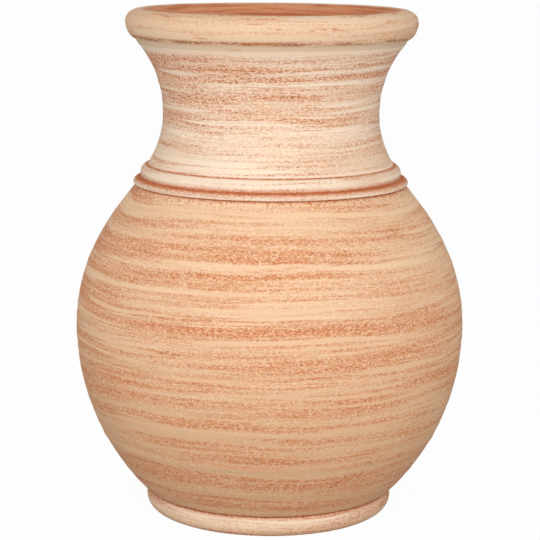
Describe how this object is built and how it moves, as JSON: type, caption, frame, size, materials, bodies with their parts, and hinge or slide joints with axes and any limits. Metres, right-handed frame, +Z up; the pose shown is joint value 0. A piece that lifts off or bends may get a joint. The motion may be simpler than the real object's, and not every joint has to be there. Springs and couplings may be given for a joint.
{
  "type": "terracotta vase",
  "caption": "Tall round-bellied terracotta vase on a low foot ring, with a banded shoulder, waisted neck and rolled rim.",
  "frame": {"origin": "centre of the foot, on the ground that the vase stands on", "axes": "+Z up along the vase's axis of turning, from the foot to the rim; X and Y are level and equal, because the vase is round"},
  "size_m": [0.3852, 0.3852, 0.5],
  "materials": {
    "washed_clay": "terracotta under a thin, streaky lime wash",
    "pale_washed_clay": "terracotta under a thicker, creamy lime wash",
    "bare_clay": "bare, matt terracotta"
  },
  "bodies": {
    "root": {"foot_ring": "washed_clay", "floor_slab": "bare_clay", "lower_bowl": "washed_clay", "upper_bowl": "washed_clay", "lower_collar_band": "pale_washed_clay", "upper_collar_band": "pale_washed_clay", "neck": "pale_washed_clay", "rim_roll": "pale_washed_clay"}
  },
  "joints": []
}
